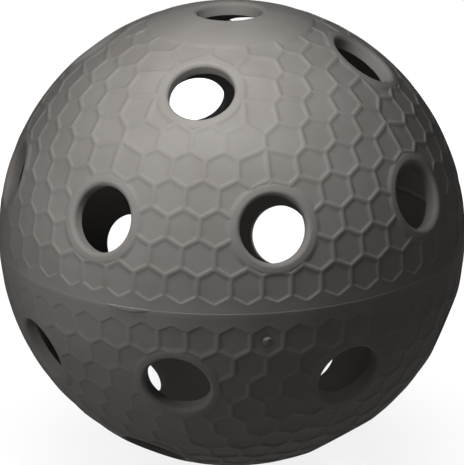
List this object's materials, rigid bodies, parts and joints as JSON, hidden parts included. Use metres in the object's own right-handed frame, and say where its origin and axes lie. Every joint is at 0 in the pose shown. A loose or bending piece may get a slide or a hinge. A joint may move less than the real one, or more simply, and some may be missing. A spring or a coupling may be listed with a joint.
{
  "type": "floorball ball",
  "caption": "Hollow perforated plastic ball for floorball, made of two moulded half shells welded at the equator, with round rimmed holes and a honeycomb skin.",
  "frame": {"origin": "centre of the ball, in the plane of the weld seam", "axes": "+Z along the mould axis through both pole holes; -Y faces the picture's camera, +X to its right"},
  "size_m": [0.0722, 0.0722, 0.0708],
  "materials": {
    "shell_plastic": "satin, moulded",
    "weld_plastic": "satin, remelted"
  },
  "bodies": {
    "root": {"upper_half_shell": "shell_plastic", "lower_half_shell": "shell_plastic", "weld_seam": "weld_plastic"}
  },
  "joints": []
}
